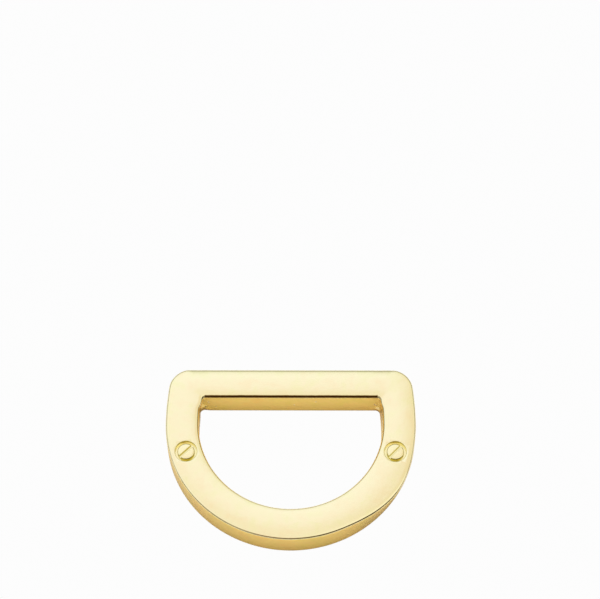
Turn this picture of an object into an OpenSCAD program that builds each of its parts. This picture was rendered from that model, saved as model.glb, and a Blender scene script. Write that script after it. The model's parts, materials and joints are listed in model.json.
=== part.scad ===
// D ring for a bag handle or a belt: one cast frame of square section, D-shaped,
// with a small slotted screw sunk into its front face at each end of the arc.
// It lies on its back on the XY plane, with its straight strap bar towards +Y
// and the middle of its outline over the origin.

/* [Opening] */
// Clear width of the opening, which takes a strap of this width
opening_w = 38; // [32:0.5:50]
// Height from the arc's centre line to the strap bar
opening_rise = 5.7; // [5:0.1:8]
// Radius of the opening's two corners beside the strap bar
opening_corner_r = 1; // [0.8:0.1:2]
// How far each side of the opening has leaned in where its corner starts
opening_lean = 0.2; // [0.1:0.05:0.4]

/* [Frame] */
// Width of the arc and of the sides, seen from the front
rim_w = 6.75; // [6:0.05:8]
// Width of the strap bar, seen from the front
bar_w = 6.5; // [5.5:0.1:8]
// Thickness from the front face to the back face
thickness = 6.6; // [5.5:0.1:8]
// Radius of the two outer corners beside the strap bar
corner_r = 4.6; // [3.5:0.1:5.5]
// How far each side has leaned in where its corner starts
side_lean = 0.45; // [0.3:0.05:0.8]
// Radius of the rounding along every edge
edge_r = 0.45; // [0.3:0.05:0.6]

/* [Screws] */
// How far below the arc's centre line each screw sits, in degrees round the arc
screw_angle = 17; // [10:0.1:40]
// Diameter of the round recess that holds a screw head
recess_d = 4.5; // [4.2:0.1:4.8]
// Depth of that recess
recess_depth = 0.8; // [0.6:0.1:1.2]
// Diameter of a screw head
head_d = 3.5; // [3.2:0.1:3.8]
// Width of the slot across a screw head
slot_w = 0.65; // [0.5:0.05:0.9]
// Depth of that slot
slot_depth = 0.4; // [0.2:0.05:0.45]
// Turn of the left screw's slot, anticlockwise from the bar's direction
slot_turn_left = 44.5; // [0:0.5:180]
// Turn of the right screw's slot
slot_turn_right = 46; // [0:0.5:180]
// Diameter of a screw's shank
shank_d = 2; // [1.6:0.1:2.4]
// Length of a screw's shank, below the head
shank_length = 3; // [2:0.1:3.2]

/* [Hidden] */
$fn = 96;

gold = [0.93, 0.76, 0.42];
screw_gold = [0.88, 0.72, 0.36];

opening_r = opening_w / 2;
outer_r = opening_r + rim_w;
outer_rise = opening_rise + bar_w;
// Puts the middle of the outline, front to back, over the origin
arc_centre_y = (outer_r - outer_rise) / 2;

// A screw head lies a little under the face, and its edge has a small bevel
head_sink = 0.05;
head_bevel = 0.2;
// Clearance round a shank and under its end
shank_gap = 0.05;
shank_end_gap = 0.2;
shank_tip = 0.4;
// The opening's rounding stops this far short of running flat into the faces
edge_break = 0.01;
// How far a cutter reaches past the face it opens
past = 1;
// How far a stretch's wedge runs on past the corner, as a share of the way there
run_on = 0.5;

// The outline of a D is a half circle below y = 0, two slightly bulging sides that
// leave it without a kink, two round corners and a straight top at y = rise.
// A side is an arc round bulge_centre, a corner is one round corner_centre, and they
// meet on the line through both.
function corner_centre(r, rise, lean, round) = [r - lean - round, rise - round];
function bulge_r(rise, lean, round) = pow(rise - round, 2) / (2 * lean) + round + lean / 2;
function bulge_centre(r, rise, lean, round) = [r - bulge_r(rise, lean, round), 0];

// Section of the outer body from its middle, x = 0, to its wall, x = reach
module body_section(reach) {
    square([reach - edge_r, thickness]);
    translate([0, edge_r]) square([reach, thickness - 2 * edge_r]);
    for (y = [edge_r, thickness - edge_r]) {
        translate([reach - edge_r, y]) circle(edge_r);
    }
}

// Section of the opening: its wall stands at x = reach and rounds away at both faces
module opening_section(reach) {
    mouth_h = edge_r - edge_break;
    translate([0, mouth_h]) square([reach, thickness - 2 * mouth_h]);
    translate([0, thickness - mouth_h]) opening_mouth(reach, mouth_h);
    translate([0, mouth_h]) mirror([0, 1]) opening_mouth(reach, mouth_h);
}

module opening_mouth(reach, mouth_h) {
    difference() {
        square([reach + edge_r, mouth_h + past]);
        translate([reach + edge_r, 0]) circle(edge_r);
    }
}

// The same section for every stretch of a D outline
module section(reach, is_opening) {
    if (is_opening) {
        opening_section(reach);
    } else {
        body_section(reach);
    }
}

// Solid D with that section all round its edge, made of stretches that share flat
// faces: the half disc, the sides, the corners, the strip behind the bar's edge and
// the middle
module d_solid(r, rise, lean, round, is_opening) {
    low = is_opening ? -past : 0;
    deep = is_opening ? thickness + 2 * past : thickness;
    corner = corner_centre(r, rise, lean, round);
    bulge = bulge_r(rise, lean, round);
    centre = bulge_centre(r, rise, lean, round);
    // Where the line through both centres crosses the middle, and a place outside
    inner = [0, -centre.x * corner.y / (corner.x - centre.x)];
    outer = corner + run_on * (corner - centre);
    rotate([0, 0, 180]) rotate_extrude(angle = 180) section(r, is_opening);
    for (side = [0, 1]) {
        mirror([side, 0, 0]) {
            intersection() {
                translate(centre) rotate_extrude(angle = 90) section(bulge, is_opening);
                translate([0, 0, low]) linear_extrude(deep)
                    polygon([[0, 0], [outer.x, 0], outer, corner, inner]);
            }
            intersection() {
                translate(corner) rotate_extrude(angle = 90) section(round, is_opening);
                translate([0, 0, low]) linear_extrude(deep)
                    polygon([corner, outer, [outer.x, 2 * rise], [corner.x, 2 * rise]]);
            }
        }
    }
    translate([-corner.x, corner.y, 0]) rotate([90, 0, 90])
        linear_extrude(2 * corner.x) section(round, is_opening);
    translate([0, 0, low]) linear_extrude(deep)
        polygon([[-corner.x, corner.y], inner, corner]);
}

// Puts its children at a screw's place: side is -1 for the left one, 1 for the right
module at_screw(side) {
    seat_r = opening_r + rim_w / 2;
    translate([side * seat_r * cos(screw_angle),
               arc_centre_y - seat_r * sin(screw_angle),
               thickness - recess_depth])
        children();
}

// Stepped hole for a screw, from the recess's floor: the recess above, the shank's below
module screw_hole() {
    cylinder(h = recess_depth + past, d = recess_d);
    translate([0, 0, -shank_length - shank_end_gap])
        cylinder(h = shank_length + shank_end_gap + past, d = shank_d + 2 * shank_gap);
}

module frame() {
    color(gold) difference() {
        translate([0, arc_centre_y, 0])
            d_solid(outer_r, outer_rise, side_lean, corner_r, false);
        translate([0, arc_centre_y, 0])
            d_solid(opening_r, opening_rise, opening_lean, opening_corner_r, true);
        for (side = [-1, 1]) {
            at_screw(side) screw_hole();
        }
    }
}

// Slotted screw whose head rests on the recess's floor, at z = 0
module screw(slot_turn) {
    head_h = recess_depth - head_sink;
    color(screw_gold) difference() {
        union() {
            cylinder(h = head_h - head_bevel, d = head_d);
            translate([0, 0, head_h - head_bevel])
                cylinder(h = head_bevel, d1 = head_d, d2 = head_d - 2 * head_bevel);
            translate([0, 0, shank_tip - shank_length])
                cylinder(h = shank_length - shank_tip, d = shank_d);
            translate([0, 0, -shank_length])
                cylinder(h = shank_tip, d1 = shank_d - 2 * shank_tip, d2 = shank_d);
        }
        rotate([0, 0, slot_turn])
            translate([-head_d, -slot_w / 2, head_h - slot_depth])
            cube([2 * head_d, slot_w, slot_depth + past]);
    }
}

module screw_left() {
    at_screw(-1) screw(slot_turn_left);
}

module screw_right() {
    at_screw(1) screw(slot_turn_right);
}

frame();
screw_left();
screw_right();
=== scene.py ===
import json
import math

import bmesh
import bpy
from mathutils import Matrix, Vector

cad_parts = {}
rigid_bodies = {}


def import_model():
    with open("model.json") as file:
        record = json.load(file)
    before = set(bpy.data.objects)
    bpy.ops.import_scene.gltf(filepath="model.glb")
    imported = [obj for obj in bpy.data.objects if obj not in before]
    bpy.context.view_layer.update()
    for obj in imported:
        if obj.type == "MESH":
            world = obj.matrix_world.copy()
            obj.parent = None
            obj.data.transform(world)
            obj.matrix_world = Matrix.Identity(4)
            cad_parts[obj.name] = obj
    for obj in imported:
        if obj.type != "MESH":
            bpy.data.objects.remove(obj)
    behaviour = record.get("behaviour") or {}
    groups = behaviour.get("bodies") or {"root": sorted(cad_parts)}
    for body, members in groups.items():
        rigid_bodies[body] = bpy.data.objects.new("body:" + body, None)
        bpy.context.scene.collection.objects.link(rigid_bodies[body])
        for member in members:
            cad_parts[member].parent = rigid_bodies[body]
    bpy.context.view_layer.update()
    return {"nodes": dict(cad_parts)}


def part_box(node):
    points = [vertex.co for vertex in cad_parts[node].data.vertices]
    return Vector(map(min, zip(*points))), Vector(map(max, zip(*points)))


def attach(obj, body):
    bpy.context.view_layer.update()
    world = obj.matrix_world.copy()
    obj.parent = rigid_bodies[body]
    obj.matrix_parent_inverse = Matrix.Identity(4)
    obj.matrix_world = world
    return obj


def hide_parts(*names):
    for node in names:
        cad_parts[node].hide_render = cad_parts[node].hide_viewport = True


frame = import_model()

mm = 0.001
hair = 0.01                    # mm; closer than this is the same place
print("frame loaded:", ", ".join(sorted(frame["nodes"])))


# camera, fitted to the photo

cameraSetup = {
    "lens": 132.0,             # long lens on a 36 mm wide sensor
    "place": (2.21, -182.49, 418.3),   # mm
    "down": 62.121,            # degrees below the horizon
    "turn": 0.097,             # degrees about Z
}


def setUpCamera(setup):
    lensData = bpy.data.cameras.new("photoCamera")
    lensData.lens = setup["lens"]
    lensData.sensor_width = 36.0
    lensData.clip_start = 0.01
    lensData.clip_end = 20.0
    camera = bpy.data.objects.new("photoCamera", lensData)
    camera.location = [value * mm for value in setup["place"]]
    camera.rotation_euler = (math.radians(90.0 - setup["down"]), 0.0, math.radians(setup["turn"]))
    bpy.context.collection.objects.link(camera)
    bpy.context.scene.camera = camera
    print("camera ready")


setUpCamera(cameraSetup)


# small helpers for work in edit mode

def deselectAll():
    if bpy.context.object and bpy.context.object.mode != "OBJECT":
        bpy.ops.object.mode_set(mode="OBJECT")
    bpy.ops.object.select_all(action="DESELECT")


def makeActive(piece):
    deselectAll()
    piece.select_set(True)
    bpy.context.view_layer.objects.active = piece


def pick(test, kind="VERT"):
    # selects the vertices, edges or faces that pass the test, and nothing else
    bpy.ops.mesh.select_mode(type=kind)
    bpy.ops.mesh.select_all(action="DESELECT")
    mesh = bmesh.from_edit_mesh(bpy.context.edit_object.data)
    parts = {"VERT": mesh.verts, "EDGE": mesh.edges, "FACE": mesh.faces}[kind]
    for part in parts:
        if test(part):
            part.select_set(True)
    mesh.select_flush_mode()
    bmesh.update_edit_mesh(bpy.context.edit_object.data)


def nearPlace(place, reach):
    target = Vector(place)
    return lambda vert: (vert.co - target).length < reach


def spinLeft(angle, steps, centre):
    # counter-clockwise from above; with no window, spin's own angle runs the other way
    bpy.ops.mesh.spin(steps=steps, angle=-angle, axis=(0, 0, 1),
                      center=(centre[0] * mm, centre[1] * mm, 0))


def settle(piece):
    # puts the piece's place and turn into its mesh
    makeActive(piece)
    bpy.ops.object.transform_apply(location=True, rotation=True, scale=True)


def applyModifier(piece, modifier):
    makeActive(piece)
    bpy.ops.object.modifier_apply(modifier=modifier.name)


# the frame: four outlines drawn as half loops, mirrored and bridged, then crowned and bevelled

ring = {
    "rimWide": 6.75,           # side and arc, mm
    "barWide": 6.5,
    "outerCorner": 4.6,        # radius
    "outerLean": 0.45,         # how far each side has leaned in where its corner begins
    "openingLean": 0.2,
    "openingCorner": 0.5,      # at the front face
    "backCorner": 1.0,         # at the back face
    "sideDraft": 0.1,          # the opening narrows this much on each side towards the back
    "barDraft": 0.16,
    "backShift": -0.13,        # the back half of the die sits a little to the left
    "outerRound": 0.45,        # rounding along the edges
    "openingChamfer": 0.3,
    "barChamferMore": 0.28,    # the bar's part of it is this much wider
    "barChamferDown": 0.08,    # and this much deeper
    "chamferRound": 0.08,
    # where the chamfer's two loops along the bar are looked for
    "chamferLoops": {
        "shortOfSides": 0.3,   # they stop this far before the opening's sides
        "upperBelow": 0.35,    # the upper one is no further than this below the front
        "upperNear": 0.02,     # and this close to its line
        "lowerBelow": 0.5,     # the lower one is this far below the front
        "lowerWithin": 0.12,   # give or take this much
        "lowerNear": 0.06,
    },
    "backRound": 0.45,
    "farDroop": 0.22,          # extra fall of the bar's far edge
    "farDroopReach": 1.25,
    "crown": 0.14,             # how far buffing leaves the front's middle above its edges
    "cushion": 0.07,           # the same again, but falling mostly close to the edges
    "flare": {
        "turn": 54,            # its middle, degrees round the arc from the lowest point
        "reach": 31,           # degrees to each side
        "out": 0.95,           # outwards at the front edge, mm
        "backIn": 0.1,         # share of that by which the back edge goes in
        "wide": 1.75,          # width of the rim that moves with the edge, mm
    },
    "arcSteps": 60,            # for a quarter turn
    "sideSteps": 16,
    "cornerSteps": 12,
    "nearBar": 3.0,            # finer stretch of the bar beside each corner, mm
    "nearBarCuts": 11,
    "barCuts": 30,
    "halfAcrossCuts": 3,
    "wallCuts": 15,
    "edgeSegments": 6,
    "rimAngle": 30,            # the ring's own four edges turn more than this, degrees
    "smoothUpTo": 40,
}

castingMarks = {
    # place, how near a corner must be to move fully, its move and the reach of the falloff, mm
    "lumps": [((-18.75, 12.1, 6.3), 0.75, (0.5, 0.0, 0.0), 1.6),
              ((18.75, 12.1, 6.3), 0.75, (-0.3, 0.0, 0.0), 1.5),
              ((-18.55, 12.1, 0.0), 0.7, (-0.12, 0.1, 0.0), 1.2),
              ((-18.3, 12.3, 2.4), 0.3, (0.12, -0.2, 0.0), 0.8),
              ((-17.3, 12.3, 1.1), 0.3, (0.0, -0.14, 0.0), 0.7),
              ((18.2, 12.3, 1.5), 0.3, (-0.1, -0.26, 0.0), 0.8),
              ((17.0, 12.3, 1.2), 0.3, (0.0, -0.1, 0.0), 0.9)],
    # pits in the bar's inner wall: across, height, radius
    "pits": [(-17.8, 2.5, 0.2), (-17.1, 4.3, 0.1), (-15.6, 2.1, 0.11), (0.75, 2.9, 0.09),
             (5.2, 4.3, 0.11), (17.35, 3.15, 0.14), (17.6, 2.95, 0.16), (17.85, 2.7, 0.16)],
    "pitSides": 16,
    "waveLong": 2.6,
    "waveHigh": 0.035,
    "waveFrom": 1.0,           # the ring is even up to this height
}

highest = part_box("frame")[1]
outerRadius = round(highest[0] / mm, 3)
topY = round(highest[1] / mm, 3)
thick = round(highest[2] / mm, 3)
arcY = outerRadius - topY      # the outline is as deep below the origin as above it


def drawOutline(name, radius, top, cornerRadius, lean, height, settings):
    # quarter arc, slightly bulged side, corner and half the bar on the right, then the mirrored half
    cornerX = radius - lean - cornerRadius
    cornerY = top - cornerRadius
    rise = cornerY - arcY
    # the side's circle touches the widest point and the corner's circle
    sideRadius = ((radius - cornerX) ** 2 + rise ** 2 - cornerRadius ** 2) / (2 * lean)
    sideCentre = radius - sideRadius
    sideAngle = math.atan2(rise, cornerX - sideCentre)
    deselectAll()
    bpy.ops.mesh.primitive_circle_add(vertices=4 * settings["arcSteps"], radius=radius * mm,
                                      location=(0, arcY * mm, height * mm))
    outline = bpy.context.object
    outline.name = name
    settle(outline)
    bpy.ops.object.mode_set(mode="EDIT")
    slack = hair * mm
    pick(lambda vert: vert.co.x < -slack or vert.co.y > arcY * mm + slack)
    bpy.ops.mesh.delete(type="VERT")
    pick(nearPlace((radius * mm, arcY * mm, height * mm), slack))
    spinLeft(sideAngle, settings["sideSteps"], (sideCentre, arcY))
    cornerStart = (cornerX + cornerRadius * math.cos(sideAngle),
                   cornerY + cornerRadius * math.sin(sideAngle))
    pick(nearPlace((cornerStart[0] * mm, cornerStart[1] * mm, height * mm), slack))
    spinLeft(math.pi / 2 - sideAngle, settings["cornerSteps"], (cornerX, cornerY))
    # the bar: a finer stretch beside the corner, then the rest to the middle
    startX = cornerX
    stretches = [(cornerX - settings["nearBar"], settings["nearBarCuts"]), (0.0, settings["barCuts"])]
    for endX, cuts in stretches:
        pick(nearPlace((startX * mm, top * mm, height * mm), slack))
        bpy.ops.mesh.extrude_region_move(TRANSFORM_OT_translate={"value": ((endX - startX) * mm, 0, 0)})
        # the new edge, by its length
        almostAll = (startX - endX - 0.1) * mm
        pick(lambda edge: all(abs(vert.co.y - top * mm) < slack for vert in edge.verts)
             and edge.calc_length() > almostAll, "EDGE")
        bpy.ops.mesh.subdivide(number_cuts=cuts)
        startX = endX
    bpy.ops.object.mode_set(mode="OBJECT")
    mirror = outline.modifiers.new("otherHalf", "MIRROR")
    mirror.merge_threshold = slack
    mirror.use_clip = True
    applyModifier(outline, mirror)
    return outline


def joinInto(piece, other):
    makeActive(piece)
    other.select_set(True)
    bpy.ops.object.join()


def makeStrip(outer, inner, settings):
    # a flat strip between two outlines, with loops along it
    joinInto(outer, inner)
    bpy.ops.object.mode_set(mode="EDIT")
    bpy.ops.mesh.select_all(action="SELECT")
    bpy.ops.mesh.bridge_edge_loops(number_cuts=1, interpolation="LINEAR")
    # the line along the middle of the rim, which the crown is raised from later
    pick(lambda vert: not vert.is_boundary)
    outer.vertex_groups.new(name="middleLine")
    bpy.ops.object.vertex_group_assign()
    pick(lambda edge: edge.verts[0].is_boundary != edge.verts[1].is_boundary, "EDGE")
    bpy.ops.mesh.subdivide(number_cuts=settings["halfAcrossCuts"])
    bpy.ops.object.mode_set(mode="OBJECT")
    return outer


def onOutside(vert):
    # true outside the middle of the rim, false towards the opening
    x, y = vert.co.x / mm, vert.co.y / mm
    if y < arcY:
        return math.hypot(x, y - arcY) > outerRadius - ring["rimWide"] / 2
    return abs(x) > outerRadius - ring["rimWide"] / 2 or y > topY - ring["barWide"] / 2


def makeRing(settings):
    bodyHigh = thick - settings["crown"] - settings["cushion"]
    openingRadius = outerRadius - settings["rimWide"]
    openingTop = topY - settings["barWide"]
    fullOutline = (outerRadius, topY, settings["outerCorner"], settings["outerLean"])
    frontOpening = (openingRadius, openingTop, settings["openingCorner"], settings["openingLean"])
    backOpening = (openingRadius - settings["sideDraft"], openingTop - settings["barDraft"],
                   settings["backCorner"], settings["openingLean"])
    piece = makeStrip(drawOutline("ring_frame", *fullOutline, bodyHigh, settings),
                      drawOutline("frontOpening", *frontOpening, bodyHigh, settings), settings)
    backEdge = drawOutline("backOpening", *backOpening, 0.0, settings)
    backEdge.location.x = settings["backShift"] * mm
    settle(backEdge)
    back = makeStrip(drawOutline("backOutline", *fullOutline, 0.0, settings), backEdge, settings)
    joinInto(piece, back)
    bpy.ops.object.mode_set(mode="EDIT")
    for outside in (True, False):
        pick(lambda edge: edge.is_boundary and onOutside(edge.verts[0]) == outside, "EDGE")
        bpy.ops.mesh.bridge_edge_loops(interpolation="LINEAR")
    bpy.ops.mesh.select_all(action="SELECT")
    bpy.ops.mesh.normals_make_consistent(inside=False)
    raiseCrown(settings)
    for front, outside, size in ((True, True, "outerRound"), (False, True, "backRound"),
                                 (False, False, "backRound")):
        pick(lambda edge: isRim(edge, front, outside), "EDGE")
        bpy.ops.mesh.bevel(offset=settings[size] * mm, segments=settings["edgeSegments"],
                           profile=0.5, affect="EDGES")
    # the opening's front edge is crisper: a chamfer with its own two edges rounded
    pick(lambda edge: isRim(edge, True, False), "EDGE")
    bpy.ops.mesh.bevel(offset=settings["openingChamfer"] * mm, segments=1, affect="EDGES")
    loops = settings["chamferLoops"]
    loopEnd = (openingRadius - loops["shortOfSides"]) * mm
    upperY = (openingTop + settings["openingChamfer"]) * mm
    pick(lambda vert: vert.co.z > (thick - loops["upperBelow"]) * mm
         and abs(vert.co.y - upperY) < loops["upperNear"] * mm and abs(vert.co.x) < loopEnd)
    bpy.ops.transform.translate(value=(0, settings["barChamferMore"] * mm, 0))
    pick(lambda vert: abs(vert.co.z - (thick - loops["lowerBelow"]) * mm) < loops["lowerWithin"] * mm
         and abs(vert.co.y - openingTop * mm) < loops["lowerNear"] * mm and abs(vert.co.x) < loopEnd)
    bpy.ops.transform.translate(value=(0, 0, -settings["barChamferDown"] * mm))
    pick(lambda edge: isRim(edge, True, False), "EDGE")
    bpy.ops.mesh.bevel(offset=settings["chamferRound"] * mm, segments=2, profile=0.5, affect="EDGES")
    # the far edge of the bar has been buffed down most
    pick(lambda vert: vert.co.y > (topY - hair) * mm and vert.co.z > thick / 2 * mm)
    pushSoftly((0, 0, -settings["farDroop"]), "SMOOTH", settings["farDroopReach"])
    # loops along both walls
    pick(lambda edge: abs(edge.verts[0].co.z - edge.verts[1].co.z) > thick / 2 * mm, "EDGE")
    bpy.ops.mesh.subdivide(number_cuts=settings["wallCuts"])
    for place, near, move, reach in castingMarks["lumps"]:
        pick(nearPlace([value * mm for value in place], near * mm))
        pushSoftly(move, "SMOOTH", reach)
    flareSide(piece, settings["flare"])
    addWaves(piece)
    print("ring body:", len(piece.data.polygons), "faces")
    return piece


def addWaves(piece):
    # the back and the lowest part of the walls stay even, and the rest is very slightly uneven
    pick(lambda vert: vert.co.z > castingMarks["waveFrom"] * mm)
    waved = piece.vertex_groups.new(name="waved")
    bpy.ops.object.vertex_group_assign()
    bpy.ops.object.mode_set(mode="OBJECT")
    clouds = bpy.data.textures.new("unevenness", "CLOUDS")
    clouds.noise_scale = castingMarks["waveLong"] * mm
    waves = piece.modifiers.new("waves", "DISPLACE")
    waves.texture = clouds
    waves.texture_coords = "LOCAL"
    waves.strength = castingMarks["waveHigh"] * mm
    waves.mid_level = 0.5
    waves.vertex_group = waved.name
    applyModifier(piece, waves)


def flareSide(piece, flare):
    # the ring isn't quite true: at the lower right its front edge stands out and its back edge in
    bpy.ops.object.mode_set(mode="OBJECT")
    for vert in piece.data.vertices:
        x, y, z = vert.co / mm
        outward = Vector((x, y - arcY, 0))
        turn = math.degrees(math.atan2(x, arcY - y))
        offMiddle = abs(turn - flare["turn"]) / flare["reach"]
        nearEdge = (outward.length - outerRadius + flare["wide"]) / flare["wide"]
        if offMiddle >= 1 or nearEdge <= 0:
            continue
        alongArc = math.cos(offMiddle * math.pi / 2) ** 2
        upWall = z / thick * (1 + flare["backIn"]) - flare["backIn"]
        move = flare["out"] * alongArc * min(nearEdge, 1.0) * upWall
        vert.co += outward.normalized() * move * mm
    bpy.ops.object.mode_set(mode="EDIT")


def isRim(edge, front, outside):
    # one of the four edges that run round the ring
    vert = edge.verts[0]
    if (vert.co.z > thick / 2 * mm) != front or onOutside(vert) != outside:
        return False
    return edge.is_manifold and edge.calc_face_angle() > math.radians(ring["rimAngle"])


def pushSoftly(move, falloff, reach):
    bpy.ops.transform.translate(value=[part * mm for part in move], use_proportional_edit=True,
                                proportional_edit_falloff=falloff, proportional_size=reach * mm)
    bpy.context.scene.tool_settings.use_proportional_edit = False   # the operator leaves it on


def raiseCrown(settings):
    # lifts the middle of the front face, falling off to nothing at its edges
    mesh = bmesh.from_edit_mesh(bpy.context.edit_object.data)
    weights = mesh.verts.layers.deform.verify()
    pick(lambda vert: vert.co.z > 0.5 * thick * mm and vert[weights].get(0, 0.0) > 0.999)
    for height, falloff in ((settings["crown"], "INVERSE_SQUARE"), (settings["cushion"], "SPHERE")):
        pushSoftly((0, 0, height), falloff, settings["rimWide"] / 2)


ringFrame = makeRing(ring)


# the screws' seats: a flat-bottomed recess with a buffed mouth, and a blind hole for the shank

seat = {
    "wide": 4.5,               # mm
    "deep": 0.8,
    "holeWide": 2.1,
    "holeFloor": 2.6,          # above the back face
    # height from the front face, and how far the mouth has flared there
    "mouth": [(-0.12, 0.0), (-0.06, 0.015), (-0.02, 0.05), (0.01, 0.11), (0.2, 0.2)],
    "sides": 96,
}
screwNodes = ("screw_left", "screw_right")


def middleOf(node):
    low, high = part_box(node)
    return (low + high) / 2


def cutSeat(piece, node, settings):
    place = middleOf(node)
    radius = settings["wide"] / 2
    floorZ = thick - settings["deep"]
    firstRise, firstFlare = settings["mouth"][0]
    deselectAll()
    bpy.ops.mesh.primitive_cylinder_add(vertices=settings["sides"], radius=radius * mm,
                                        depth=(thick + firstRise - floorZ) * mm,
                                        location=(place.x, place.y, (thick + firstRise + floorZ) / 2 * mm))
    cutter = bpy.context.object
    settle(cutter)
    bpy.ops.object.mode_set(mode="EDIT")
    pick(lambda face: face.normal.z > 0.9, "FACE")
    lastRise, lastFlare = firstRise, firstFlare
    for rise, flare in settings["mouth"][1:]:
        grow = (radius + flare) / (radius + lastFlare)
        bpy.ops.mesh.extrude_region_move(TRANSFORM_OT_translate={"value": (0, 0, (rise - lastRise) * mm)})
        bpy.ops.transform.resize(value=(grow, grow, 1), center_override=(place.x, place.y, 0))
        lastRise, lastFlare = rise, flare
    pick(lambda face: face.normal.z < -0.9 and face.calc_center_median().z < (floorZ + hair) * mm, "FACE")
    bpy.ops.mesh.inset(thickness=(radius - settings["holeWide"] / 2) * mm)
    bpy.ops.mesh.extrude_region_move(
        TRANSFORM_OT_translate={"value": (0, 0, (settings["holeFloor"] - floorZ) * mm)})
    bpy.ops.mesh.select_all(action="SELECT")
    bpy.ops.mesh.normals_make_consistent(inside=False)
    bpy.ops.object.mode_set(mode="OBJECT")
    # the mouth follows the crown, which drops away to both sides of the rim's middle
    for vert in cutter.data.vertices:
        if vert.co.z > (thick + firstRise - hair) * mm:
            vert.co.z -= crownDrop(vert.co.x, vert.co.y, ring)
    cutAway(piece, cutter)


def crownDrop(x, y, settings):
    # how far the front face lies below its middle line, beside the arc
    halfWide = settings["rimWide"] / 2
    beside = min(abs(math.hypot(x / mm, y / mm - arcY) - outerRadius + halfWide) / halfWide, 1.0)
    drop = settings["crown"] * beside ** 2 + settings["cushion"] * (1 - math.sqrt(1 - beside ** 2))
    return drop * mm


def cutAway(piece, cutter):
    cut = piece.modifiers.new("cut", "BOOLEAN")
    cut.object = cutter
    cut.solver = "MANIFOLD"
    applyModifier(piece, cut)
    bpy.data.objects.remove(cutter)


def cutPits(piece, marks):
    for across, height, radius in marks["pits"]:
        wallY = topY - ring["barWide"] - ring["barDraft"] * (1 - height / thick)
        deselectAll()
        bpy.ops.mesh.primitive_uv_sphere_add(segments=marks["pitSides"], ring_count=marks["pitSides"] // 2,
                                             radius=radius * mm,
                                             location=(across * mm, wallY * mm, height * mm))
        cutter = bpy.context.object
        settle(cutter)
        cutAway(piece, cutter)


for screwNode in screwNodes:
    cutSeat(ringFrame, screwNode, seat)
cutPits(ringFrame, castingMarks)
print("screw seats and casting pits cut")


def finishShading(piece, angle):
    makeActive(piece)
    bpy.ops.object.shade_smooth_by_angle(angle=math.radians(angle))
    weighted = piece.modifiers.new("evenShading", "WEIGHTED_NORMAL")
    weighted.keep_sharp = True
    applyModifier(piece, weighted)


finishShading(ringFrame, ring["smoothUpTo"])
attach(ringFrame, "root")
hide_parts("frame")


# the screws: a turned head with a broken edge and a slot, and a plain shank

screw = {
    "headWide": 3.5,           # mm
    "headTop": 6.55,           # above the ring's back face
    "headFloor": 5.8,
    # height below the top, step in
    "edgeSteps": [(-0.24, 0.0), (-0.16, 0.015), (-0.09, 0.06), (-0.035, 0.13), (0.0, 0.24)],
    "dome": 0.03,
    "domeRings": (0.85, 0.6, 0.35, 0.12),   # as shares of the flat's radius
    "shankWide": 2.0,
    "shankEnd": 2.8,
    "shankTip": 0.4,           # length of the cone at its end
    "tipNarrows": 0.6,         # the cone's end as a share of the shank
    "slotWide": 0.6,
    "slotDeep": 0.4,
    "slotCutLong": 2.4,        # the slot's cutter, in head radii: it runs out at both sides
    "slotEdge": 0.035,
    "slotTurn": {"screw_left": 44.5, "screw_right": 46.0},   # degrees from the bar's direction
    "sides": 96,
    "smoothUpTo": 35,
}


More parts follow.
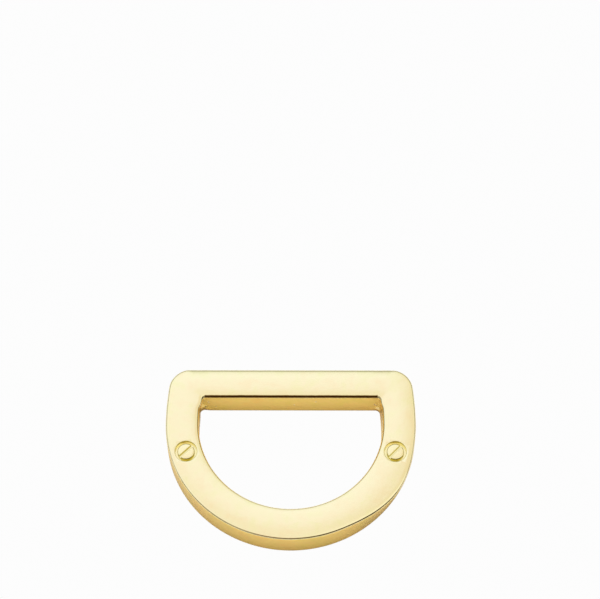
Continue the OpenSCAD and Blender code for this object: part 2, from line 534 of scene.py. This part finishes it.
def makeScrew(node, settings):
    place = middleOf(node)
    turn = settings["slotTurn"][node]
    radius = settings["headWide"] / 2
    top = settings["headTop"]
    bandTop = top + settings["edgeSteps"][0][0]
    deselectAll()
    bandMiddle = (bandTop + settings["headFloor"]) / 2 * mm
    bpy.ops.mesh.primitive_cylinder_add(vertices=settings["sides"], radius=radius * mm,
                                        depth=(bandTop - settings["headFloor"]) * mm,
                                        location=(place.x, place.y, bandMiddle))
    piece = bpy.context.object
    piece.name = node.replace("screw", "slotted_screw")
    settle(piece)
    bpy.ops.object.mode_set(mode="EDIT")
    centre = (place.x, place.y, 0)
    # the broken edge, then rings up to a faint dome
    pick(lambda face: face.normal.z > 0.9, "FACE")
    lastDrop, lastIn = settings["edgeSteps"][0]
    for drop, stepIn in settings["edgeSteps"][1:]:
        shrink = (radius - stepIn) / (radius - lastIn)
        bpy.ops.mesh.extrude_region_move(TRANSFORM_OT_translate={"value": (0, 0, (drop - lastDrop) * mm)})
        bpy.ops.transform.resize(value=(shrink, shrink, 1), center_override=centre)
        lastDrop, lastIn = drop, stepIn
    flat = radius - lastIn
    lastShare = 1.0
    for share in settings["domeRings"]:
        rise = settings["dome"] * (lastShare ** 2 - share ** 2)
        bpy.ops.mesh.inset(thickness=flat * (lastShare - share) * mm)
        bpy.ops.transform.translate(value=(0, 0, rise * mm))
        lastShare = share
    # the shank, with a short cone at its end
    pick(lambda face: face.normal.z < -0.9, "FACE")
    bpy.ops.mesh.inset(thickness=(radius - settings["shankWide"] / 2) * mm)
    shankLong = settings["headFloor"] - settings["shankEnd"] - settings["shankTip"]
    bpy.ops.mesh.extrude_region_move(TRANSFORM_OT_translate={"value": (0, 0, -shankLong * mm)})
    bpy.ops.mesh.extrude_region_move(TRANSFORM_OT_translate={"value": (0, 0, -settings["shankTip"] * mm)})
    narrow = settings["tipNarrows"]
    bpy.ops.transform.resize(value=(narrow, narrow, 1), center_override=centre)
    bpy.ops.object.mode_set(mode="OBJECT")
    # the slot, right across the head
    deselectAll()
    slotHigh = 2 * settings["slotDeep"]
    bpy.ops.mesh.primitive_cube_add(size=1.0, location=(place.x, place.y, top * mm))
    slot = bpy.context.object
    slot.scale = (settings["slotCutLong"] * radius * mm, settings["slotWide"] * mm, slotHigh * mm)
    slot.rotation_euler = (0, 0, math.radians(turn))
    settle(slot)
    cutAway(piece, slot)
    slotFloor = (top - settings["slotDeep"]) * mm
    along = Vector((math.cos(math.radians(turn)), math.sin(math.radians(turn)), 0))
    bpy.ops.object.mode_set(mode="EDIT")
    pick(lambda edge: isSlotLip(edge, place, along, slotFloor, settings), "EDGE")
    bpy.ops.mesh.bevel(offset=settings["slotEdge"] * mm, segments=2, profile=0.5, affect="EDGES")
    bpy.ops.object.mode_set(mode="OBJECT")
    finishShading(piece, settings["smoothUpTo"])
    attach(piece, "root")
    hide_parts(node)
    print("screw made:", piece.name, len(piece.data.polygons), "faces")
    return piece


def isSlotLip(edge, place, along, slotFloor, settings):
    # the slot's two upper edges run beside its middle line, above its floor
    across = Vector((-along.y, along.x, 0))
    for vert in edge.verts:
        beside = abs((vert.co - place).dot(across))
        if abs(beside - settings["slotWide"] / 2 * mm) > hair * mm:
            return False
        if vert.co.z < slotFloor + settings["slotDeep"] / 2 * mm:
            return False
    return abs((edge.verts[0].co - edge.verts[1].co).normalized().dot(along)) > 0.9


screws = {screwNode: makeScrew(screwNode, screw) for screwNode in screwNodes}


# finishes, with painted light and shade in their colours

def addNode(tree, kind, x, y, **values):
    node = tree.nodes.new(kind)
    node.location = (x, y)
    for name, value in values.items():
        setattr(node, name, value)
    return node


def startMaterial(name):
    material = bpy.data.materials.new(name)
    material.use_nodes = True
    shader = material.node_tree.nodes["Principled BSDF"]
    return material, material.node_tree, shader


def dress(piece, material):
    # one finish all over; cutting leaves an empty slot behind
    piece.data.materials.clear()
    piece.data.materials.append(material)
    for face in piece.data.polygons:
        face.material_index = 0


def startGroup(name, inputs, outputs):
    # inputs and outputs: name, socket type, default or None
    tree = bpy.data.node_groups.new(name, "ShaderNodeTree")
    for direction, sockets in (("INPUT", inputs), ("OUTPUT", outputs)):
        for socketName, kind, default in sockets:
            socket = tree.interface.new_socket(socketName, in_out=direction, socket_type=kind)
            if default is not None:
                socket.default_value = default
    enter = addNode(tree, "NodeGroupInput", -1200, 0)
    leave = addNode(tree, "NodeGroupOutput", 900, 0)
    return tree, enter, leave


def useGroup(tree, group, x, y):
    node = addNode(tree, "ShaderNodeGroup", x, y)
    node.node_tree = group
    return node


def makePlatingTone():
    # slow drifts of the plating's colour, towards pink and towards green
    group, enter, leave = startGroup(
        "platingTone",
        [("Color", "NodeSocketColor", (0.9, 0.8, 0.5, 1)), ("Drift", "NodeSocketFloat", 0.5),
         ("Scale", "NodeSocketFloat", 300.0)],
        [("Color", "NodeSocketColor", None)])
    where = addNode(group, "ShaderNodeTexCoord", -1000, -200)
    clouds = addNode(group, "ShaderNodeTexNoise", -800, -100)
    clouds.inputs["Detail"].default_value = 3.0
    clouds.inputs["Roughness"].default_value = 0.6
    hues = addNode(group, "ShaderNodeValToRGB", -550, -100)
    hues.color_ramp.elements[0].position = 0.32
    hues.color_ramp.elements[0].color = (1.0, 0.935, 0.90, 1)
    hues.color_ramp.elements[1].position = 0.68
    hues.color_ramp.elements[1].color = (0.955, 1.0, 0.86, 1)
    middle = hues.color_ramp.elements.new(0.5)
    middle.color = (1, 1, 1, 1)
    tinted = addNode(group, "ShaderNodeMix", -150, 0, data_type="RGBA", blend_type="MULTIPLY")
    group.links.new(where.outputs["Object"], clouds.inputs["Vector"])
    group.links.new(enter.outputs["Scale"], clouds.inputs["Scale"])
    group.links.new(clouds.outputs["Fac"], hues.inputs["Fac"])
    group.links.new(enter.outputs["Drift"], tinted.inputs["Factor"])
    group.links.new(enter.outputs["Color"], tinted.inputs["A"])
    group.links.new(hues.outputs["Color"], tinted.inputs["B"])
    group.links.new(tinted.outputs["Result"], leave.inputs["Color"])
    return group


def makeBuffedSurface():
    # a very shallow unevenness under the plate, drawn out along one way, with fine grain on top
    group, enter, leave = startGroup(
        "buffedSurface",
        [("Stretch", "NodeSocketVector", (1.0, 1.0, 1.0)), ("Scale", "NodeSocketFloat", 900.0),
         ("Grain", "NodeSocketFloat", 0.3), ("Roughness", "NodeSocketFloat", 0.2),
         ("Patchy", "NodeSocketFloat", 0.2)],
        [("Height", "NodeSocketFloat", None), ("Roughness", "NodeSocketFloat", None)])
    where = addNode(group, "ShaderNodeTexCoord", -1000, -200)
    drawn = addNode(group, "ShaderNodeMapping", -800, -200)
    waves = addNode(group, "ShaderNodeTexNoise", -600, 0)
    waves.inputs["Detail"].default_value = 2.0
    grain = addNode(group, "ShaderNodeTexNoise", -600, -300)
    grain.inputs["Scale"].default_value = 9000.0
    grain.inputs["Detail"].default_value = 2.0
    both = addNode(group, "ShaderNodeMath", -100, 0, operation="MULTIPLY_ADD")
    patches = addNode(group, "ShaderNodeMath", -100, -300, operation="MULTIPLY_ADD")
    rough = addNode(group, "ShaderNodeMath", 200, -300, operation="MULTIPLY")
    patches.inputs[2].default_value = 0.9   # share of the roughness that the smoothest patches keep
    group.links.new(where.outputs["Object"], drawn.inputs["Vector"])
    group.links.new(enter.outputs["Stretch"], drawn.inputs["Scale"])
    group.links.new(drawn.outputs["Vector"], waves.inputs["Vector"])
    group.links.new(enter.outputs["Scale"], waves.inputs["Scale"])
    group.links.new(drawn.outputs["Vector"], grain.inputs["Vector"])
    group.links.new(grain.outputs["Fac"], both.inputs[0])
    group.links.new(enter.outputs["Grain"], both.inputs[1])
    group.links.new(waves.outputs["Fac"], both.inputs[2])
    group.links.new(both.outputs["Value"], leave.inputs["Height"])
    group.links.new(waves.outputs["Fac"], patches.inputs[0])
    group.links.new(enter.outputs["Patchy"], patches.inputs[1])
    group.links.new(enter.outputs["Roughness"], rough.inputs[0])
    group.links.new(patches.outputs["Value"], rough.inputs[1])
    group.links.new(rough.outputs["Value"], leave.inputs["Roughness"])
    return group


platingTone = makePlatingTone()
buffedSurface = makeBuffedSurface()

ringFinishAndPaintedLight = {
    # the faces' paler gold is a painted sheen: it stands for the bright light that washes the polished
    # faces out, while the walls keep the deeper gold
    "faceGoldPaintedSheen": (0.985, 0.90, 0.63, 1),
    "wallGold": (0.96, 0.685, 0.19, 1),
    "seatGoldPaintedGlow": (0.95, 0.86, 0.40, 1),   # deeper than the faces' gold and lighter than the walls': a painted glow of light in the screws' recesses
    "faceRough": 0.10,
    "wallRough": 0.30,
    "faceDrift": 0.5,
    "wallDrift": 1.0,
    "faceStretch": (1.0, 1.0, 1.0),
    "wallStretch": (0.5, 0.5, 3.0),      # marks run round the ring, level with the table
    "grain": 0.04,
    "patchy": 0.2,
    "bump": 0.012,                       # mm
    "satinFrom": 0.75,                   # steeper than this is satin; 0 is level, 1 upright
    "polishFade": 0.3,
    "seatPolishAndSheen": 0.9,
    "seatFloorTone": 0.4,                # share of that painted glow on the recess's floor
    "seatBeyond": 0.06,                  # how far past the recess's radius that reaches, mm
}


def makeRingGold(settings):
    material, tree, shader = startMaterial("ringGold")
    polishAndPaintedSheen = addNode(tree, "ShaderNodeAttribute", -1100, 300, attribute_name="polishAndPaintedSheen")
    seatPaintedGlow = addNode(tree, "ShaderNodeAttribute", -1100, 0, attribute_name="seatPaintedGlow")
    # paler gold on the faces, deeper on the walls: a painted sheen on the faces
    tone = addNode(tree, "ShaderNodeMix", -700, 300, data_type="RGBA")
    tone.inputs["A"].default_value = settings["wallGold"]
    tone.inputs["B"].default_value = settings["faceGoldPaintedSheen"]
    # the screws' recesses are painted a yellow glow of light
    seatGlowMix = addNode(tree, "ShaderNodeMix", -500, 300, data_type="RGBA")
    seatGlowMix.inputs["B"].default_value = settings["seatGoldPaintedGlow"]
    drifting = useGroup(tree, platingTone, -250, 300)
    drift = addNode(tree, "ShaderNodeMapRange", -700, 600)
    drift.inputs["To Min"].default_value = settings["wallDrift"]
    drift.inputs["To Max"].default_value = settings["faceDrift"]
    tree.links.new(polishAndPaintedSheen.outputs["Fac"], drift.inputs["Value"])
    tree.links.new(drift.outputs["Result"], drifting.inputs["Drift"])
    rough = addNode(tree, "ShaderNodeMapRange", -700, 0)
    rough.inputs["To Min"].default_value = settings["wallRough"]
    rough.inputs["To Max"].default_value = settings["faceRough"]
    stretch = addNode(tree, "ShaderNodeMix", -700, -300, data_type="VECTOR")
    stretch.inputs["A"].default_value = settings["wallStretch"]
    stretch.inputs["B"].default_value = settings["faceStretch"]
    surface = useGroup(tree, buffedSurface, -400, -100)
    surface.inputs["Grain"].default_value = settings["grain"]
    surface.inputs["Patchy"].default_value = settings["patchy"]
    bump = addNode(tree, "ShaderNodeBump", -150, -300)
    bump.inputs["Distance"].default_value = settings["bump"] * mm
    bump.inputs["Strength"].default_value = 1.0
    tree.links.new(polishAndPaintedSheen.outputs["Fac"], tone.inputs["Factor"])
    tree.links.new(tone.outputs["Result"], seatGlowMix.inputs["A"])
    tree.links.new(seatPaintedGlow.outputs["Fac"], seatGlowMix.inputs["Factor"])
    tree.links.new(seatGlowMix.outputs["Result"], drifting.inputs["Color"])
    tree.links.new(drifting.outputs["Color"], shader.inputs["Base Color"])
    tree.links.new(polishAndPaintedSheen.outputs["Fac"], rough.inputs["Value"])
    tree.links.new(rough.outputs["Result"], surface.inputs["Roughness"])
    tree.links.new(polishAndPaintedSheen.outputs["Fac"], stretch.inputs["Factor"])
    tree.links.new(stretch.outputs["Result"], surface.inputs["Stretch"])
    tree.links.new(surface.outputs["Roughness"], shader.inputs["Roughness"])
    tree.links.new(surface.outputs["Height"], bump.inputs["Height"])
    tree.links.new(bump.outputs["Normal"], shader.inputs["Normal"])
    shader.inputs["Metallic"].default_value = 1.0
    return material


def paintFinishAndLight(piece, settings):
    # one attribute: 1 on the buffed faces and round their edges, 0 on the satin walls; besides the
    # roughness it paints the faces a paler gold than the walls, a painted sheen of bright light
    # the other: 1 on the walls of the screws' recesses, less on their floors; it places a painted glow of
    # light in the recesses
    polishAndPaintedSheen = piece.data.attributes.new("polishAndPaintedSheen", "FLOAT", "POINT")
    seatPaintedGlow = piece.data.attributes.new("seatPaintedGlow", "FLOAT", "POINT")
    places = [middleOf(node).xy for node in screwNodes]
    for vert in piece.data.vertices:
        # in the recesses: a painted glow, and the faces' paler painted sheen as well
        away = min((vert.co.xy - place).length for place in places)
        if away < (seat["wide"] / 2 + settings["seatBeyond"]) * mm:
            onFloor = vert.co.z < (thick - seat["deep"] + hair) * mm
            seatPaintedGlow.data[vert.index].value = settings["seatFloorTone"] if onFloor else 1.0
            polishAndPaintedSheen.data[vert.index].value = settings["seatPolishAndSheen"]
            continue
        steep = 1.0 - abs(vert.normal.z)
        buffed = (settings["satinFrom"] - steep) / settings["polishFade"]
        polishAndPaintedSheen.data[vert.index].value = min(max(buffed, 0.0), 1.0)


paintFinishAndLight(ringFrame, ringFinishAndPaintedLight)
dress(ringFrame, makeRingGold(ringFinishAndPaintedLight))


screwFinishAndPaintedLight = {
    # pale tops and dark sides: painted light and shade on one gold
    "headGoldPaintedSheen": (1.0, 0.91, 0.60, 1),
    "slotGoldPaintedShade": (0.58, 0.50, 0.06, 1),   # dark olive on the sides of the slot and of the head: painted shade
    "slotFloorTone": 0.75,               # how far the slot's floor is towards the head's colour; the rest of it is painted shade
    "topFrom": 0.3,            # faces that look up less than this take the painted shade
    "topFade": 0.4,
    "rough": 0.14,
    "patchy": 0.2,
    "drift": 0.4,
    "driftScale": 700.0,
    "turned": 1600.0,          # turning marks, rings a metre
    "markDeep": 0.0006,        # mm
}


def makeScrewGold(settings):
    # the turning marks run round each screw's own axis, by the distance that paintScrew stores
    material, tree, shader = startMaterial("screwGold")
    top = addNode(tree, "ShaderNodeAttribute", -1100, 300, attribute_name="paintedLightOnTop")
    away = addNode(tree, "ShaderNodeAttribute", -1100, -200, attribute_name="fromAxis")
    # tops painted pale as a painted sheen, sides and slot painted dark as painted shade
    tone = addNode(tree, "ShaderNodeMix", -700, 300, data_type="RGBA")
    tone.inputs["A"].default_value = settings["slotGoldPaintedShade"]
    tone.inputs["B"].default_value = settings["headGoldPaintedSheen"]
    drifting = useGroup(tree, platingTone, -400, 300)
    drifting.inputs["Drift"].default_value = settings["drift"]
    drifting.inputs["Scale"].default_value = settings["driftScale"]
    surface = useGroup(tree, buffedSurface, -700, 0)
    surface.inputs["Roughness"].default_value = settings["rough"]
    surface.inputs["Patchy"].default_value = settings["patchy"]
    rings = addNode(tree, "ShaderNodeMath", -900, -200, operation="MULTIPLY")
    rings.inputs[1].default_value = settings["turned"] * 2 * math.pi
    marks = addNode(tree, "ShaderNodeMath", -700, -200, operation="SINE")
    bump = addNode(tree, "ShaderNodeBump", -300, -200)
    bump.inputs["Distance"].default_value = settings["markDeep"] * mm
    tree.links.new(top.outputs["Fac"], tone.inputs["Factor"])
    tree.links.new(tone.outputs["Result"], drifting.inputs["Color"])
    tree.links.new(drifting.outputs["Color"], shader.inputs["Base Color"])
    tree.links.new(surface.outputs["Roughness"], shader.inputs["Roughness"])
    tree.links.new(away.outputs["Fac"], rings.inputs[0])
    tree.links.new(rings.outputs["Value"], marks.inputs[0])
    tree.links.new(marks.outputs["Value"], bump.inputs["Height"])
    tree.links.new(bump.outputs["Normal"], shader.inputs["Normal"])
    shader.inputs["Metallic"].default_value = 1.0
    return material


def paintScrew(piece, node, settings):
    # one attribute: 1 on the faces that look up, less on the slot's floor, 0 on the sides, which take the
    # painted shade; fromAxis: metres
    paintedLightOnTop = piece.data.attributes.new("paintedLightOnTop", "FLOAT", "FACE")
    fromAxis = piece.data.attributes.new("fromAxis", "FLOAT", "POINT")
    place = middleOf(node).xy
    slotFloor = (screw["headTop"] - screw["slotDeep"] + 2 * hair) * mm
    for face in piece.data.polygons:
        high = settings["slotFloorTone"] if face.center.z < slotFloor else 1.0
        looksUp = (face.normal.z - settings["topFrom"]) / settings["topFade"]
        paintedLightOnTop.data[face.index].value = min(max(looksUp, 0.0), high)
    for vert in piece.data.vertices:
        fromAxis.data[vert.index].value = (vert.co.xy - place).length


screwGold = makeScrewGold(screwFinishAndPaintedLight)
for screwNode, screwPiece in screws.items():
    paintScrew(screwPiece, screwNode, screwFinishAndPaintedLight)
    dress(screwPiece, screwGold)
print("finishes ready")


# the stage: a pale table and a soft studio all round

studio = {
    # degrees from the far horizon over the top to the near horizon, colour
    "overhead": [(0, (0.56, 0.58, 0.50)), (15, (0.60, 0.62, 0.52)), (28, (0.72, 0.75, 0.63)),
                 (40, (0.85, 0.88, 0.78)), (50, (0.95, 0.98, 0.94)), (58, (0.98, 1.0, 0.99)),
                 (68, (0.96, 0.94, 0.90)), (74, (0.91, 0.87, 0.75)), (114, (0.90, 0.85, 0.72)),
                 (119, (0.34, 0.22, 0.05)), (125, (0.03, 0.01, 0.002)), (142, (0.03, 0.01, 0.002)),
                 (148, (0.34, 0.22, 0.06)), (154, (0.68, 0.63, 0.50)), (180, (0.60, 0.57, 0.50))],
    # the same on the left, where more light comes in low
    "left": [(0, (0.35, 0.36, 0.32)), (24, (0.70, 0.72, 0.62)), (40, (0.98, 1.0, 0.95)),
             (110, (0.90, 0.87, 0.78)), (120, (0.44, 0.38, 0.24)), (146, (0.44, 0.38, 0.24)),
             (158, (0.55, 0.52, 0.44)), (180, (0.52, 0.49, 0.43))],
    "leftFrom": (-0.05, -0.5),     # how far left of straight ahead it takes over
    # and on the right, where a dark side of the room shows
    "right": [(0, (0.50, 0.49, 0.34)), (15, (0.54, 0.52, 0.36)), (28, (0.65, 0.63, 0.43)),
              (40, (0.76, 0.74, 0.53)), (50, (0.86, 0.83, 0.65)), (58, (0.88, 0.84, 0.67)),
              (68, (0.86, 0.79, 0.61)), (74, (0.82, 0.75, 0.55)), (84, (0.98, 0.95, 0.78)),
              (108, (0.98, 0.95, 0.78)), (114, (0.30, 0.20, 0.05)), (119, (0.03, 0.01, 0.002)),
              (147, (0.03, 0.01, 0.002)), (152, (0.30, 0.20, 0.06)), (157, (0.75, 0.67, 0.48)),
              (180, (0.70, 0.63, 0.48))],
    "rightFrom": (-0.02, 0.28),
    "lowTone": (0.36, 0.36, 0.32),   # near the horizon all round
    "lowUpTo": 0.75,
    "strength": 1.04,
}
table = {
    "wide": 3.0,               # m
    "tone": (0.82, 0.82, 0.82, 1),
    "rough": 0.9,
}
plainWhite = (0.98, 0.98, 0.98, 1)   # what the camera itself sees of the table and the room


def makeFloor(settings):
    deselectAll()
    bpy.ops.mesh.primitive_plane_add(size=settings["wide"], location=(0, 0, 0))
    floor = bpy.context.object
    floor.name = "paleTable"
    material, tree, shader = startMaterial("paleTable")
    shader.inputs["Base Color"].default_value = settings["tone"]
    shader.inputs["Roughness"].default_value = settings["rough"]
    white = addNode(tree, "ShaderNodeEmission", 0, -300)
    white.inputs["Color"].default_value = plainWhite
    seen = addNode(tree, "ShaderNodeLightPath", 0, 300)
    mix = addNode(tree, "ShaderNodeMixShader", 300, 0)
    tree.links.new(seen.outputs["Is Camera Ray"], mix.inputs["Fac"])
    tree.links.new(shader.outputs["BSDF"], mix.inputs[1])
    tree.links.new(white.outputs["Emission"], mix.inputs[2])
    tree.links.new(mix.outputs["Shader"], tree.nodes["Material Output"].inputs["Surface"])
    floor.data.materials.append(material)


makeFloor(table)


def addSweep(tree, stops, share, y):
    # a ramp over the half turn from the far horizon to the near one
    sweep = addNode(tree, "ShaderNodeValToRGB", -400, y)
    ramp = sweep.color_ramp
    while len(ramp.elements) < len(stops):
        ramp.elements.new(0.5)
    for element, (degrees, colour) in zip(ramp.elements, stops):
        element.position = degrees / 180
        element.color = (*colour, 1)
    tree.links.new(share, sweep.inputs["Fac"])
    return sweep.outputs["Color"]


def addSide(tree, split, reach, y):
    # 0 straight ahead, 1 well out to one side
    side = addNode(tree, "ShaderNodeMapRange", -400, y, interpolation_type="SMOOTHSTEP")
    side.inputs["From Min"].default_value = reach[0]
    side.inputs["From Max"].default_value = reach[1]
    tree.links.new(split.outputs["X"], side.inputs["Value"])
    return side.outputs["Result"]


def makeStudio(settings):
    world = bpy.data.worlds.new("studio")
    bpy.context.scene.world = world
    world.use_nodes = True
    tree = world.node_tree
    background = tree.nodes["Background"]
    direction = addNode(tree, "ShaderNodeTexCoord", -1200, 0)
    split = addNode(tree, "ShaderNodeSeparateXYZ", -1000, 0)
    angle = addNode(tree, "ShaderNodeMath", -800, 0, operation="ARCTAN2")
    share = addNode(tree, "ShaderNodeMath", -600, 0, operation="DIVIDE")
    share.inputs[1].default_value = math.pi
    tree.links.new(direction.outputs["Generated"], split.inputs["Vector"])
    tree.links.new(split.outputs["Z"], angle.inputs[0])
    tree.links.new(split.outputs["Y"], angle.inputs[1])
    tree.links.new(angle.outputs["Value"], share.inputs[0])
    withLeft = addNode(tree, "ShaderNodeMix", -100, 0, data_type="RGBA")
    tree.links.new(addSide(tree, split, settings["leftFrom"], 500), withLeft.inputs["Factor"])
    tree.links.new(addSweep(tree, settings["overhead"], share.outputs["Value"], 0), withLeft.inputs["A"])
    tree.links.new(addSweep(tree, settings["left"], share.outputs["Value"], -300), withLeft.inputs["B"])
    withRight = addNode(tree, "ShaderNodeMix", 100, 0, data_type="RGBA")
    tree.links.new(addSide(tree, split, settings["rightFrom"], 800), withRight.inputs["Factor"])
    tree.links.new(withLeft.outputs["Result"], withRight.inputs["A"])
    tree.links.new(addSweep(tree, settings["right"], share.outputs["Value"], -600), withRight.inputs["B"])
    withLow = addNode(tree, "ShaderNodeMix", 300, 0, data_type="RGBA", blend_type="MULTIPLY")
    withLow.inputs["B"].default_value = (*settings["lowTone"], 1)
    low = addNode(tree, "ShaderNodeMapRange", 100, 400, interpolation_type="SMOOTHSTEP")
    low.inputs["From Min"].default_value = settings["lowUpTo"]
    low.inputs["From Max"].default_value = 0.0
    tree.links.new(split.outputs["Z"], low.inputs["Value"])
    tree.links.new(low.outputs["Result"], withLow.inputs["Factor"])
    tree.links.new(withRight.outputs["Result"], withLow.inputs["A"])
    tree.links.new(withLow.outputs["Result"], background.inputs["Color"])
    background.inputs["Strength"].default_value = settings["strength"]
    # seen by the camera it is plain white, like the table
    plain = addNode(tree, "ShaderNodeBackground", 300, -200)
    plain.inputs["Color"].default_value = plainWhite
    seen = addNode(tree, "ShaderNodeLightPath", 300, 300)
    mix = addNode(tree, "ShaderNodeMixShader", 500, 0)
    tree.links.new(seen.outputs["Is Camera Ray"], mix.inputs["Fac"])
    tree.links.new(background.outputs["Background"], mix.inputs[1])
    tree.links.new(plain.outputs["Background"], mix.inputs[2])
    tree.links.new(mix.outputs["Shader"], tree.nodes["World Output"].inputs["Surface"])
    bpy.context.scene.view_settings.view_transform = "Standard"


makeStudio(studio)


tableLight = {
    "wide": 0.6,               # m
    "place": (0.0, 0.12, 0.8),
    "watts": 3.4,
}


def makeTableLight(settings):
    # a wide soft lamp that lights the table, and shows in no reflection
    lamp = bpy.data.lights.new("tableLight", "AREA")
    lamp.shape = "DISK"
    lamp.size = settings["wide"]
    lamp.energy = settings["watts"]
    holder = bpy.data.objects.new("tableLight", lamp)
    holder.location = settings["place"]
    holder.rotation_euler = Vector(settings["place"]).to_track_quat("Z", "Y").to_euler()
    holder.visible_glossy = False
    holder.visible_camera = False
    bpy.context.collection.objects.link(holder)


makeTableLight(tableLight)
print("stage and light ready")
